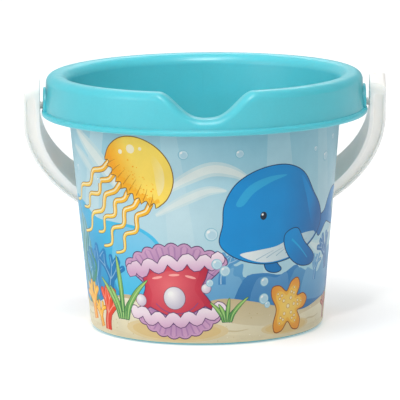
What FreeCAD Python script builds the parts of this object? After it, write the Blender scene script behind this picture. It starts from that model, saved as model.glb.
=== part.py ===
"""Child's beach bucket, in millimetres.

A tapered pail with a rolled collar, a scooped pouring spout and a recessed base is one moulding.
A thin printed film wraps its wall, and a white strap bail hangs on two snap pins that turn in
bosses on the sides of the collar.

Frame: origin at the middle of the foot ring on the ground, +Z up, spout towards -Y, pivots on
the X axis.  The bail is stored hanging behind the pail with its grip against the back wall.
"""
import FreeCAD
import Part
import math
import os

# ---- driving dimensions -----------------------------------------------------------------
# pail body
HEIGHT = 141.0              # ground to the crest of the rim
BASE_RADIUS = 64.5          # wall's outer radius, carried down to the ground
WALL_SLOPE = 0.0894         # radius gained for each mm of height
WALL = 1.8                  # moulding thickness
BASE_CORNER = 4.0           # outside rounding where the wall meets the foot ring
FOOT_INNER = 53.5           # foot ring's inner radius
BASE_RECESS = 2.4           # underside of the floor above the ground

# collar: the wall rolls over at the rim and comes down again as a skirt with a flange
SKIRT_TOP, SKIRT_BOTTOM = 87.35, 87.9
FLANGE_RADIUS = 90.0
FLANGE_BOTTOM, FLANGE_TOP = 118.2, 121.2
ROLL_INNER, ROLL_OUTER = 6.0, 4.6       # rim roundings on the mouth side and the skirt side
GUSSET = 1.3                # web under the roll, with its lower end this high on the wall
GUSSET_FOOT = 125.0
GUSSET_ANGLES = (45, 75, 105, 135, 180, 225, 255, 285, 315)     # degrees round from the spout

# pouring spout
SPOUT_DEPTH = 14.2
SPOUT_HALF_WIDTH = 27.5
SPOUT_SHAPE = 1.37          # above 1 gives a broad round bottom and short shoulders
SPOUT_ROLL_INNER = 4.5      # mouth-side rounding at the bottom of the scoop
SPOUT_BASE = 121.9          # the scooped part of the rim starts here
SPOUT_SECTIONS = 25
JOIN_TOLERANCE = 0.0005     # lofted and turned faces of the rim are merged within this

# printed wrap film, let into the wall and carried round its bottom corner
LABEL_BOTTOM, LABEL_TOP = 0.9, 117.5
LABEL_THICK = 0.3
LABEL_EDGE_GAP = 0.1
LABEL_SEAM = 1.4            # butt gap at the back

# pivots
PIVOT_Z = 123.5
BOSS_RADIUS, BOSS_FACE, BOSS_BACK = 10.0, 89.0, 85.3    # faces measured from the pail's axis
BOSS_EDGE, BOSS_LIFT = 0.5, 1.5         # edge rounding, and its flat underside above the flange's
PIN_RADIUS, PIN_CLEARANCE = 2.0, 0.08
PIN_SOCKET = 5.0            # length held inside the bail's arm
PIN_PLAY = 0.3
BARB_RADIUS, BARB_TIP, BARB_LENGTH, BARB_SLOT = 2.7, 1.6, 3.4, 0.9

# bail, drawn in its own plane: x across, v down from the pivots to the grip
ARM_OUT, ARM_IN = 100.3, 91.2           # half widths at the springing of the arch
ARCH_START = 10.0
ARCH_OUT, ARCH_IN = 104.6, 95.5         # depth of the arch below its springing
TIP_V = -22.0                           # arms carry on above the pivots
TIP_OUT, TIP_IN = 99.4, 90.5
TIP_SLOPE = 2.2                         # outer corner of each tip sits lower
TIP_CORNER = 2.8
STRAP_ARM, STRAP_GRIP = 5.5, 10.8       # half thickness of the strap at the arms and the grip
STRAP_TAPER_V = 5.0
GRIP_V = ARCH_START + ARCH_OUT
PANEL_DEPTH = 1.6                       # sunk panel on both faces
PANEL_IN, PANEL_OUT = 2.4, 1.5          # ribs left each side of it
PANEL_V = -15.0
PANEL_CORNER = 2.2
WALL_REST_GAP = 0.35                    # grip to back wall when hanging

AXIS_X = FreeCAD.Vector(1, 0, 0)
AXIS_Z = FreeCAD.Vector(0, 0, 1)
ORIGIN = FreeCAD.Vector(0, 0, 0)


def wall_radius(z):
    """Outer radius of the tapered wall at height z."""
    return BASE_RADIUS + WALL_SLOPE * z


def skirt_radius(z):
    """Outer radius of the collar's skirt at height z."""
    share = (z - FLANGE_TOP) / (HEIGHT - FLANGE_TOP)
    return SKIRT_BOTTOM + (SKIRT_TOP - SKIRT_BOTTOM) * share


def rounded_wire(corners, place):
    """Closed wire through corners (a, b, rounding); place(a, b) gives the point in space."""
    edges = []
    last = None
    first = None
    count = len(corners)
    for i, (a, b, rounding) in enumerate(corners):
        here = FreeCAD.Vector(a, b, 0)
        before = FreeCAD.Vector(*corners[i - 1][:2], 0) - here
        after = FreeCAD.Vector(*corners[(i + 1) % count][:2], 0) - here
        before.normalize()
        after.normalize()
        half = before.getAngle(after) / 2.0
        if rounding > 0:
            reach = rounding / math.tan(half)
            middle = before + after
            middle.normalize()
            start = here + before * reach
            bend = here + middle * (rounding / math.sin(half) - rounding)
            end = here + after * reach
        else:
            start = end = here
        if last is None:
            first = start
        else:
            edges.append(Part.makeLine(place(last.x, last.y), place(start.x, start.y)))
        if rounding > 0:
            points = [place(p.x, p.y) for p in (start, bend, end)]
            edges.append(Part.Arc(*points).toShape())
        last = end
    edges.append(Part.makeLine(place(last.x, last.y), place(first.x, first.y)))
    return Part.Wire(edges)


def in_radial_plane(degrees):
    """Placer for a (radius, height) profile standing at an angle round from the spout."""
    turn = math.radians(degrees)
    return lambda r, z: FreeCAD.Vector(r * math.sin(turn), -r * math.cos(turn), z)


def rim_corners(drop, floor):
    """The rolled rim's section, lowered by drop, cut off level at height floor."""
    top = HEIGHT - drop
    inner = ROLL_INNER + (SPOUT_ROLL_INNER - ROLL_INNER) * drop / SPOUT_DEPTH
    under = top - WALL
    return [
        (wall_radius(floor) - WALL, floor, 0),
        (wall_radius(top) - WALL, top, inner),
        (skirt_radius(top), top, ROLL_OUTER),
        (skirt_radius(floor), floor, 0),
        (skirt_radius(floor) - WALL, floor, 0),
        (skirt_radius(under) - WALL, under, ROLL_OUTER - WALL),
        (wall_radius(under), under, inner - WALL),
        (wall_radius(floor), floor, 0),
    ]


def spout_drop(degrees):
    """How far the scoop lowers the rim at an angle round from the middle of the spout."""
    across = SKIRT_TOP * abs(math.sin(math.radians(degrees)))
    share = min(1.0, across / SPOUT_HALF_WIDTH)
    return SPOUT_DEPTH * (1 + math.cos(math.pi * share ** SPOUT_SHAPE)) / 2


def spout_half_angle():
    return math.degrees(math.asin(SPOUT_HALF_WIDTH / SKIRT_TOP))


def pail_profile():
    """Section of the whole moulding away from the spout, as (radius, height, rounding)."""
    floor_top = BASE_RECESS + WALL
    trough = FOOT_INNER + WALL
    under = HEIGHT - WALL
    return [
        (0, floor_top, 0),
        (trough, floor_top, 1.4),
        (trough + 0.2, WALL, 0.7),
        (wall_radius(WALL) - WALL, WALL, 2.2),
        (wall_radius(HEIGHT) - WALL, HEIGHT, ROLL_INNER),
        (SKIRT_TOP, HEIGHT, ROLL_OUTER),
        (SKIRT_BOTTOM, FLANGE_TOP, 0.5),
        (FLANGE_RADIUS, FLANGE_TOP, 1.3),
        (FLANGE_RADIUS, FLANGE_BOTTOM, 1.3),
        (skirt_radius(FLANGE_BOTTOM) - WALL, FLANGE_BOTTOM, 0.4),
        (skirt_radius(under) - WALL, under, ROLL_OUTER - WALL),
        (wall_radius(under), under, ROLL_INNER - WALL),
        (wall_radius(0), 0, BASE_CORNER),
        (FOOT_INNER, 0, 0.8),
        (FOOT_INNER - 0.2, BASE_RECESS, 0.8),
        (0, BASE_RECESS, 0),
    ]


def spout_sector(low, high):
    """Wedge of space over the spout, between two heights."""
    half = spout_half_angle()
    corners = [(60, low, 0), (95, low, 0), (95, high, 0), (60, high, 0)]
    face = Part.Face(rounded_wire(corners, in_radial_plane(-half)))
    return face.revolve(ORIGIN, AXIS_Z, 2 * half)


def spout_rim():
    """The scooped stretch of rim, lofted through radial sections."""
    half = spout_half_angle()
    wires = []
    for i in range(SPOUT_SECTIONS):
        angle = half * (2.0 * i / (SPOUT_SECTIONS - 1) - 1)
        wires.append(rounded_wire(rim_corners(spout_drop(angle), SPOUT_BASE),
                                  in_radial_plane(angle)))
    return Part.makeLoft(wires, True, False)


def gusset(angle):
    """Thin web between the wall and the skirt, buried in the roll above it."""
    roll_in = wall_radius(HEIGHT) - WALL + ROLL_INNER
    roll_out = SKIRT_TOP - ROLL_OUTER
    top = HEIGHT - WALL / 2
    diagonal = math.sqrt(0.5)
    inner, outer = ROLL_INNER - WALL / 2, ROLL_OUTER - WALL / 2
    corners = [
        (wall_radius(GUSSET_FOOT) - WALL / 3, GUSSET_FOOT, 0),
        (SKIRT_BOTTOM - WALL * 0.8, FLANGE_TOP + 0.6, 0),
        (SKIRT_TOP - WALL * 0.6, HEIGHT - ROLL_OUTER, 0),
        (roll_out + outer * diagonal, HEIGHT - ROLL_OUTER + outer * diagonal, 0),
        (roll_out, top, 0),
        (roll_in, top, 0),
        (roll_in - inner * diagonal, HEIGHT - ROLL_INNER + inner * diagonal, 0),
        (wall_radius(HEIGHT - ROLL_INNER) - WALL / 2, HEIGHT - ROLL_INNER, 0),
    ]
    side = FreeCAD.Vector(math.cos(math.radians(angle)), math.sin(math.radians(angle)), 0)
    face = Part.Face(rounded_wire(corners, in_radial_plane(angle)))
    face.translate(side * (-GUSSET / 2))
    return face.extrude(side * GUSSET)


def along_x(radius, start, end):
    """Cylinder on the pivot axis between two x positions."""
    low = min(start, end)
    return Part.makeCylinder(radius, abs(end - start), FreeCAD.Vector(low, 0, PIVOT_Z), AXIS_X)


def pivot_boss(side):
    """Round boss on the collar, cut off where it meets the flange."""
    boss = along_x(BOSS_RADIUS, side * BOSS_BACK, side * BOSS_FACE)
    outer_edge = [e for e in boss.Edges if abs(e.BoundBox.XLength) < 1e-6
                  and abs(e.BoundBox.Center.x - side * BOSS_FACE) < 1e-6]
    boss = boss.makeFillet(BOSS_EDGE, outer_edge)
    wide = 4 * BOSS_RADIUS
    corner = FreeCAD.Vector(side * BOSS_FACE - wide / 2, -wide / 2, FLANGE_BOTTOM + BOSS_LIFT)
    return boss.common(Part.makeBox(wide, wide, wide, corner))


def film_band(low, high, gap_angle):
    """Film-deep band on the wall and round its bottom corner, open by an angle at the back."""
    corners = [
        (wall_radius(high), high, 0),
        (wall_radius(0), 0, BASE_CORNER),
        (FOOT_INNER + 2, 0, 0),
        (FOOT_INNER + 2, LABEL_THICK, 0),
        (wall_radius(LABEL_THICK) - LABEL_THICK, LABEL_THICK, BASE_CORNER - LABEL_THICK),
        (wall_radius(high) - LABEL_THICK, high, 0),
    ]
    face = Part.Face(rounded_wire(corners, in_radial_plane(180 + gap_angle / 2)))
    band = face.revolve(ORIGIN, AXIS_Z, 360 - gap_angle)
    wide = 2 * FLANGE_RADIUS
    return band.common(Part.makeBox(wide, wide, high, FreeCAD.Vector(-wide / 2, -wide / 2, low)))


def pail_shell():
    profile = Part.Face(rounded_wire(pail_profile(), in_radial_plane(180)))
    body = profile.revolve(ORIGIN, AXIS_Z, 360)
    body = body.cut([spout_sector(SPOUT_BASE, HEIGHT + 5), film_band(LABEL_BOTTOM, LABEL_TOP, 0)])
    body = body.fuse([spout_rim()], JOIN_TOLERANCE)
    body = body.fuse([gusset(a) for a in GUSSET_ANGLES] + [pivot_boss(s) for s in (-1, 1)])
    for side in (-1, 1):
        body = body.cut(along_x(PIN_RADIUS + PIN_CLEARANCE, side * (BOSS_BACK - 5), side * (BOSS_FACE + 5)))
    return body.removeSplitter()


def wrap_label():
    seam = math.degrees(LABEL_SEAM / wall_radius(LABEL_TOP))
    return film_band(LABEL_BOTTOM + LABEL_EDGE_GAP, LABEL_TOP - LABEL_EDGE_GAP, seam)


def bail_rest_angle():
    """Tilt of the bail behind the pail, in degrees, when its grip just reaches the wall."""
    reach = ARCH_START + ARCH_IN
    half = strap_half(reach)
    low, high = 20.0, 80.0
    for _ in range(40):
        tilt = (low + high) / 2
        s, c = math.sin(math.radians(tilt)), math.cos(math.radians(tilt))
        y = reach * s - half * c
        z = PIVOT_Z - reach * c - half * s
        if y - wall_radius(z) < WALL_REST_GAP:
            low = tilt
        else:
            high = tilt
    return high


def strap_half(v):
    """Half thickness of the strap at a distance v along the bail."""
    share = max(0.0, (v - STRAP_TAPER_V) / (GRIP_V - STRAP_TAPER_V))
    return STRAP_ARM + (STRAP_GRIP - STRAP_ARM) * share


def bail_point(x, v, n=0.0):
    """A point of the bail's own plane, with the bail hanging straight down."""
    return FreeCAD.Vector(x, n, PIVOT_Z - v)


def half_ellipse(half_width, depth, n):
    """Lower half of an ellipse round the springing point, from +x round to -x."""
    centre = bail_point(0, ARCH_START, n)
    if depth > half_width:
        major, minor = bail_point(0, ARCH_START + depth, n), bail_point(half_width, ARCH_START, n)
    else:
        major, minor = bail_point(half_width, ARCH_START, n), bail_point(0, ARCH_START + depth, n)
    curve = Part.Ellipse(major, minor, centre)
    bottom = curve.parameter(bail_point(0, ARCH_START + depth, n))
    quarter = math.pi / 2
    return Part.Arc(curve, bottom - quarter, bottom + quarter).toShape()


def arm_end(side, x_in, x_out, tip_in, tip_out, v, slope, corner_in, corner_out, n):
    """Edges of one arm above the arch: up the inside, across the tip, down the outside."""
    corners = [(x_in, ARCH_START, 0), (tip_in, v, corner_in),
               (tip_out, v + slope, corner_out), (x_out, ARCH_START, 0)]
    wire = rounded_wire(corners, lambda x, w: bail_point(side * x, w, n))
    return wire.Edges[:-1]


def u_outline(n, inset_in, inset_out, v, slope, corner_in, corner_out):
    """Face of the U, or of the panel sunk in it, lying at a distance n from the mid plane."""
    x_in, x_out = ARM_IN + inset_in, ARM_OUT - inset_out
    lean = (ARCH_START - v) / (ARCH_START - TIP_V)
    tip_in = x_in + (TIP_IN - ARM_IN) * lean
    tip_out = x_out + (TIP_OUT - ARM_OUT) * lean
    edges = [half_ellipse(x_in, ARCH_IN + inset_in, n), half_ellipse(x_out, ARCH_OUT - inset_out, n)]
    for side in (-1, 1):
        edges += arm_end(side, x_in, x_out, tip_in, tip_out, v, slope, corner_in, corner_out, n)
    return Part.Face(Part.Wire(Part.__sortEdges__(edges)))


def side_outline(inset):
    """The strap seen from the side: round tips and a taper that widens down to the grip."""
    arm, grip = STRAP_ARM - inset, STRAP_GRIP - inset
    tip = TIP_V + inset
    low = GRIP_V + 5.0
    corners = [(-arm, tip, arm * 0.98), (arm, tip, arm * 0.98), (arm, STRAP_TAPER_V, 0),
               (grip, low, 0), (-grip, low, 0), (-arm, STRAP_TAPER_V, 0)]
    reach = 1.2 * ARM_OUT
    wire = rounded_wire(corners, lambda n, v: FreeCAD.Vector(-reach, n, PIVOT_Z - v))
    return Part.Face(wire).extrude(FreeCAD.Vector(2 * reach, 0, 0))


def bail_handle():
    depth = 2 * STRAP_GRIP + 4
    strap = u_outline(-depth / 2, 0, 0, TIP_V, TIP_SLOPE, 0.8, TIP_CORNER)
    strap = strap.extrude(FreeCAD.Vector(0, depth, 0)).common(side_outline(0))
    panel = u_outline(-depth / 2, PANEL_IN, PANEL_OUT, PANEL_V, 1.4, PANEL_CORNER, PANEL_CORNER)
    panel = panel.extrude(FreeCAD.Vector(0, depth, 0)).cut(side_outline(PANEL_DEPTH))
    bail = strap.cut(panel)
    for side in (-1, 1):
        bail = bail.cut(along_x(PIN_RADIUS, side * (ARM_IN - 3), side * (ARM_IN + PIN_SOCKET)))
    bail.rotate(bail_point(0, 0), AXIS_X, bail_rest_angle())
    return bail


def pivot_pin(side):
    """Snap pin: a shank held in the arm, and a slotted barb behind the collar's boss."""
    shoulder = BOSS_BACK - PIN_PLAY
    shank = along_x(PIN_RADIUS, side * shoulder, side * (ARM_IN + PIN_SOCKET))
    barb = Part.makeCone(BARB_RADIUS, BARB_TIP, BARB_LENGTH,
                         FreeCAD.Vector(side * shoulder, 0, PIVOT_Z), AXIS_X * -side)
    slot_deep = BARB_LENGTH + 1.0
    slot = Part.makeBox(slot_deep, 8, BARB_SLOT)
    slot.translate(FreeCAD.Vector(min(side * (shoulder + 1), side * (shoulder + 1 - slot_deep)),
                                  -4, PIVOT_Z - BARB_SLOT / 2))
    pin = shank.fuse(barb).cut(slot)
    pin.rotate(bail_point(0, 0), AXIS_X, bail_rest_angle())
    return pin


def main():
    parts = {
        "pail_shell": pail_shell(),
        "wrap_label": wrap_label(),
        "bail_handle": bail_handle(),
        "pivot_pin_left": pivot_pin(-1),
        "pivot_pin_right": pivot_pin(1),
    }
    os.makedirs("parts", exist_ok=True)
    for name, shape in parts.items():
        if len(shape.Solids) != 1 or not shape.isValid():
            raise ValueError("%s: %d solids, valid %s" % (name, len(shape.Solids), shape.isValid()))
        shape.Solids[0].exportStep("parts/%s.step" % name)
        print("%-16s %9.1f mm3  %d faces" % (name, shape.Volume, len(shape.Faces)))
    print("bail rest angle %.3f degrees" % bail_rest_angle())


main()
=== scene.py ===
"""Child's beach bucket: looks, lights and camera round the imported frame. Metres, +Z up.

The wrap label's picture is drawn here as filled outlines in the plane of the unrolled film, in
millimetres (x round the wall from the spout, z up), then laid on the tapered wall.
"""
import bmesh
import bpy
import numpy as np
import random
from math import atan, cos, exp, hypot, pi, radians, sin, sqrt, tau
from mathutils import Matrix, Vector
from mathutils.geometry import delaunay_2d_cdt


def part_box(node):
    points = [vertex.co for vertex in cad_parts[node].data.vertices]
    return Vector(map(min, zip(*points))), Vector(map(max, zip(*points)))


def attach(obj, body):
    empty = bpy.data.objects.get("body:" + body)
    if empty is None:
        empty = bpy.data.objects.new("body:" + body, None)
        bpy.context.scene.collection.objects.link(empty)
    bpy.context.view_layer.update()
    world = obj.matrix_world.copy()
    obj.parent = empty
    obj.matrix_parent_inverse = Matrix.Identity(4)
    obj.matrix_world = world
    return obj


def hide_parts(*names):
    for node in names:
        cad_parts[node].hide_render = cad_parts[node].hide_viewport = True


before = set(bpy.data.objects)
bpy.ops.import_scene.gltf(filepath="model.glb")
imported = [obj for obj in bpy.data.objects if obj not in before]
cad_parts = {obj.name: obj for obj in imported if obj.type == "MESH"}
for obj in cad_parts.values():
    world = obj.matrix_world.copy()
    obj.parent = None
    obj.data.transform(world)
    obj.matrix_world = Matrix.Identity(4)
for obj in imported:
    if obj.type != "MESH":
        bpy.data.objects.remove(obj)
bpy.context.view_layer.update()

MM = 0.001

# ---- sizes shared with the CAD model, in millimetres ----
BASE_RADIUS = 64.5          # wall's outer radius, carried down to the ground
WALL_SLOPE = 0.0894         # radius gained per millimetre of height
BASE_CORNER = 4.0           # radius where the wall turns in under the pail
FILM = 0.25                 # label thickness, a little under the CAD film's
LABEL_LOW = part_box("wrap_label")[0].z / MM
LABEL_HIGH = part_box("wrap_label")[1].z / MM

# ---- the unrolled film ----
ROLL_RADIUS = 70.0          # x on the drawing is an angle round the wall times this
HALF_TURN = pi * ROLL_RADIUS
SEAM = 0.7                  # half the butt gap at the back
FRONT_EDGE = HALF_TURN / 2  # label_front and label_back meet here
GRID = 3.0                  # spacing of the drawing's mesh
CORNER_GRID = GRID / 5      # and of its rows round the base corner
MERGE = 0.004               # outline points nearer than this are one point


def add_object(name, data):
    """A new object in the scene."""
    thing = bpy.data.objects.new(name, data)
    bpy.context.scene.collection.objects.link(thing)
    return thing


# ======== Colour ========

INK_DEPTH = 0.86            # share of a drawing colour's brightness that is printed
INK_SATURATION = 1.15


def linear(colour):
    """An sRGB colour in 0..255 as linear 0..1."""
    out = []
    for c in colour:
        c = c / 255.0
        out.append(c / 12.92 if c <= 0.04045 else ((c + 0.055) / 1.055) ** 2.4)
    return tuple(out)


def ink_level(colour):
    """A drawing colour as linear ink: deeper and more saturated, since the film's gloss pales it."""
    red, green, blue = linear(colour)
    grey = 0.2126 * red + 0.7152 * green + 0.0722 * blue
    return tuple(max(0.0, INK_DEPTH * (grey + (c - grey) * INK_SATURATION)) for c in (red, green, blue))


def mix(a, b, share):
    """Two colours mixed, by b's share."""
    share = min(1.0, max(0.0, share))
    return tuple(p + (q - p) * share for p, q in zip(a, b))


def flat(colour):
    """Paint of one colour. A paint gives the colour at a point of the drawing."""
    return lambda x, z: colour


def ramp(start, end, here, there):
    """Paint that runs from one colour at here to another at there."""
    dx, dz = there[0] - here[0], there[1] - here[1]
    span = dx * dx + dz * dz
    return lambda x, z: mix(start, end, ((x - here[0]) * dx + (z - here[1]) * dz) / span)


def radial(inner, outer, centre, radius):
    """Paint that runs from one colour at a centre to another at a radius."""
    return lambda x, z: mix(inner, outer, hypot(x - centre[0], z - centre[1]) / radius)


def tinted(under, colour, share):
    """Thin paint: a colour laid over another paint."""
    return lambda x, z: mix(under(x, z), colour, share)


# ======== Outlines on the drawing ========

def smooth(points, steps=6, closed=True):
    """Catmull-Rom curve through control points."""
    n = len(points)
    out = []
    spans = n if closed else n - 1
    for i in range(spans):
        if closed:
            p = [points[(i + k - 1) % n] for k in range(4)]
        else:
            p = [points[min(max(i + k - 1, 0), n - 1)] for k in range(4)]
        for s in range(steps):
            t = s / steps
            out.append(tuple(
                0.5 * (2 * p[1][a] + (p[2][a] - p[0][a]) * t
                       + (2 * p[0][a] - 5 * p[1][a] + 4 * p[2][a] - p[3][a]) * t * t
                       + (3 * p[1][a] - p[0][a] - 3 * p[2][a] + p[3][a]) * t ** 3)
                for a in (0, 1)))
    if not closed:
        out.append(tuple(points[-1]))
    return out


def placed(points, at=(0, 0), turn=0.0, size=1.0):
    """Points scaled, turned by degrees and moved."""
    c, s = cos(radians(turn)) * size, sin(radians(turn)) * size
    return [(at[0] + x * c - z * s, at[1] + x * s + z * c) for x, z in points]


def ellipse(at, rx, rz, turn=0.0, count=28):
    """A closed outline of count points, turned by degrees."""
    ring = [(rx * cos(tau * i / count), rz * sin(tau * i / count)) for i in range(count)]
    return placed(ring, at, turn)


def normals_of(points, closed):
    """Unit vectors to the right of a line, one for each point."""
    out = []
    n = len(points)
    for i in range(n):
        a = points[i - 1] if closed or i else points[0]
        b = points[(i + 1) % n] if closed or i < n - 1 else points[-1]
        dx, dz = b[0] - a[0], b[1] - a[1]
        length = hypot(dx, dz) or 1.0
        out.append((dz / length, -dx / length))
    return out


def area(points):
    """An outline's area, negative if it runs clockwise."""
    return sum(a[0] * b[1] - b[0] * a[1] for a, b in zip(points, points[1:] + points[:1])) / 2


def grow(points, amount):
    """An outline moved outwards by an amount."""
    side = 1 if area(points) > 0 else -1
    return [(p[0] + n[0] * amount * side, p[1] + n[1] * amount * side)
            for p, n in zip(points, normals_of(points, True))]


def ribbon(spine, start, end, swell=0.0, steps=6, tip=True):
    """A brush stroke along a smooth line: start and end are half widths, swell thickens it."""
    line = smooth(spine, steps, closed=False)
    side = normals_of(line, False)
    last = len(line) - 1
    left, right = [], []
    for i, (p, n) in enumerate(zip(line, side)):
        t = i / last
        w = start + (end - start) * t + swell * sin(pi * t)
        left.append((p[0] - n[0] * w, p[1] - n[1] * w))
        right.append((p[0] + n[0] * w, p[1] + n[1] * w))
    cap = []
    if tip:
        ahead = (line[-1][0] - line[-2][0], line[-1][1] - line[-2][1])
        size = hypot(*ahead) or 1.0
        cap = [(line[-1][0] + ahead[0] / size * end, line[-1][1] + ahead[1] / size * end)]
    return left + cap + right[::-1]


def lifted(points, count, lift):
    """A smooth open line at count even steps, each moved sideways by lift(step)."""
    line = smooth(points, 8, closed=False)
    side = normals_of(line, False)
    out = []
    for i in range(count + 1):
        t = i / count * (len(line) - 1)
        k = min(int(t), len(line) - 2)
        out.append(tuple(line[k][a] + (line[k + 1][a] - line[k][a]) * (t - k) + side[k][a] * lift(i)
                         for a in (0, 1)))
    return out


def scallops(points, depth, waves, steps=4):
    """A line with rounded bumps along it, to one side."""
    return lifted(points, waves * steps, lambda i: abs(sin(pi * i / steps)) * depth)


def wave_line(points, height, waves, steps=9):
    """A line with a sine wave laid along it."""
    return lifted(points, waves * steps, lambda i: height * sin(tau * i / steps))


# ======== The picture ========

INK = (38, 50, 68)
WHITE = (246, 246, 242)
PEARL_INK = (128, 84, 104)
PICTURE = []                # (outline, paint), painted in order


def paint(outline, colour):
    PICTURE.append((outline, colour))


def inked(outline, colour, ink=INK, width=0.55):
    """A shape with a drawn line round it."""
    paint(grow(outline, width), flat(ink))
    paint(outline, colour)


def rope(line, half, colour, ink, width=0.45):
    """A thick wavy band, painted in short lengths so that tight bends stay whole."""
    side = normals_of(line, False)
    for reach, fill in ((half + width, flat(ink)), (half, colour)):
        for a, b, n, m in zip(line, line[1:], side, side[1:]):
            corners = ((a, n, -reach), (b, m, -reach), (b, m, reach), (a, n, reach))
            paint([(p[0] + q[0] * off, p[1] + q[1] * off) for p, q, off in corners], fill)
        for end in (line[0], line[-1]):
            paint(ellipse(end, reach, reach, 0, 14), fill)


def water(x, z):
    """Pale sea, lighter in broad slanting bands and in the open middle."""
    deep, pale, glow = (128, 190, 208), (172, 209, 221), (206, 228, 232)
    height = z / LABEL_HIGH
    colour = mix(deep, pale, 0.35 + 0.55 * sin(pi * min(1.0, height * 0.95)))
    band = 0.5 + 0.5 * sin((x + 0.45 * z) / 17.0) * sin(x / 41.0 + 1.3)
    colour = mix(colour, glow, 0.32 * band)
    open_water = exp(-((z - 70) / 22.0) ** 2) * (0.5 + 0.5 * cos(x / 26.0 + 1.0))
    return mix(colour, glow, 0.55 * open_water)


def light_ray(top, foot, wide_top, wide_foot, strength):
    """A slanting shaft of light from above the film down behind the sand."""
    high, low = LABEL_HIGH + 5, 30
    outline = [(top - wide_top, high), (top + wide_top, high),
               (foot + wide_foot, low), (foot - wide_foot, low)]
    paint(outline, tinted(water, (226, 238, 238), strength))


def swirl(spine, width, strength=0.5):
    """A soft cream current."""
    paint(ribbon(spine, width * 0.3, width * 0.2, width * 0.7, steps=7),
          tinted(water, (238, 240, 230), strength * 0.6))
    paint(ribbon(spine, width * 0.1, width * 0.1, width * 0.42, steps=7),
          tinted(water, (240, 241, 232), strength))


def bubble(x, z, r):
    """A dark rim, a pale body, a tinted middle and a highlight."""
    paint(ellipse((x, z), r, r), tinted(water, (120, 176, 196), 0.55))
    paint(ellipse((x + r * 0.04, z + r * 0.02), r * 0.86, r * 0.86), tinted(water, (222, 237, 240), 0.6))
    paint(ellipse((x + r * 0.12, z - r * 0.1), r * 0.62, r * 0.6), tinted(water, (188, 216, 226), 0.8))
    paint(ellipse((x - r * 0.38, z + r * 0.4), r * 0.26, r * 0.2, 40, 12), flat(WHITE))


def pearl(x, z, r):
    """A loose pearl, lit from the upper left."""
    sheen = radial((252, 248, 244), (206, 190, 206), (x - r * 0.3, z + r * 0.3), r * 1.4)
    inked(ellipse((x, z), r, r, 0, 20), sheen, ink=PEARL_INK, width=0.3)
    paint(ellipse((x - r * 0.36, z + r * 0.4), r * 0.24, r * 0.18, 30, 10), flat(WHITE))


def blade(x, z, height, lean, width):
    """One leaf of weed with a pale midrib."""
    spine = [(x, z), (x + lean * 0.15, z + height * 0.35), (x + lean * 0.55, z + height * 0.72),
             (x + lean, z + height)]
    colour = ramp((84, 146, 86), (172, 206, 124), (x, z), (x + lean, z + height))
    inked(ribbon(spine, width * 0.45, 0.1, width * 0.45), colour, ink=(44, 92, 62), width=0.3)
    rib = [(p[0] * 0.96 + x * 0.04, p[1] * 0.96 + z * 0.04) for p in spine]
    paint(ribbon(rib, width * 0.12, 0.05, width * 0.08), flat((186, 218, 148)))


def weed_tuft(x, z, size, seed):
    """Five leaves fanned out from one root."""
    rng = random.Random(seed)
    for i in range(5):
        lean = (i - 2) * size * 0.26 + rng.uniform(-0.08, 0.08) * size
        tall = size * (0.62 + 0.38 * rng.random()) * (1.0 if i % 2 == 0 else 0.72)
        blade(x + (i - 2) * size * 0.06, z, tall, lean, size * 0.085)


def tall_weed(x, z, height, colour):
    """A long wavering strand standing in the background."""
    wave, width = 3.0, 1.5
    spine = [(x + wave * sin(i * 1.7 + x), z + height * i / 6) for i in range(7)]
    paint(ribbon(spine, width, 0.3, width * 0.3), flat(colour))


def coral(x, z, size, base, tip, seed, turn=0.0, ink=None):
    """A branching clump: a short trunk that forks twice into round-ended fingers."""
    rng = random.Random(seed)
    strokes = []

    def branch(px, pz, angle, length, width, level):
        bend = rng.uniform(-14, 14)
        a1 = radians(angle)
        a2 = radians(angle + bend)
        mid = (px + cos(a1) * length * 0.5, pz + sin(a1) * length * 0.5)
        end = (mid[0] + cos(a2) * length * 0.5, mid[1] + sin(a2) * length * 0.5)
        strokes.append(([(px, pz), mid, end], width))
        if level:
            for spread in (-34, 4, 36) if level == 2 else (-26, 24):
                branch(end[0], end[1], angle + bend + spread + rng.uniform(-8, 8),
                       length * rng.uniform(0.72, 0.92), width * 0.8, level - 1)

    branch(x, z, 90 + turn, size * 0.36, size * 0.108, 2)
    colour = ramp(base, tip, (x, z), (x, z + size))
    if ink:
        for spine, width in strokes:
            paint(ribbon(spine, width + 0.35, width * 0.92 + 0.35), flat(ink))
            paint(ellipse(spine[-1], width * 0.98 + 0.35, width * 0.98 + 0.35, 0, 14), flat(ink))
    for spine, width in strokes:
        paint(ribbon(spine, width, width * 0.92, tip=False), colour)
        paint(ellipse(spine[-1], width * 0.98, width * 0.98, 0, 14), colour)
    for spine, width in strokes:
        lit = [(p[0] - width * 0.32, p[1] + width * 0.1) for p in spine]
        paint(ribbon(lit, width * 0.18, width * 0.1), flat(mix(tip, WHITE, 0.45)))


def rock(points, top, foot):
    """A background rock, with a lighter face on its upper left."""
    outline = smooth(points, 4)
    low, high = min(p[1] for p in outline), max(p[1] for p in outline)
    paint(outline, ramp(foot, top, (0, low), (0, high)))
    middle = (sum(p[0] for p in outline) / len(outline), sum(p[1] for p in outline) / len(outline))
    facet = [(middle[0] + (p[0] - middle[0]) * 0.55 - 1.5, middle[1] + (p[1] - middle[1]) * 0.6 + 1.5)
             for p in outline]
    paint(facet, ramp(mix(foot, top, 0.6), mix(top, WHITE, 0.16), (0, low), (0, high)))


def shadow_on_sand(at, rx, rz):
    """A warm patch of shade, darker in its middle."""
    paint(ellipse(at, rx, rz), flat(mix(SAND_MID, SAND_SHADE, 0.45)))
    paint(ellipse(at, rx * 0.86, rz * 0.8), flat(mix(SAND_MID, SAND_SHADE, 0.8)))


# ---- creatures ----

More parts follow.
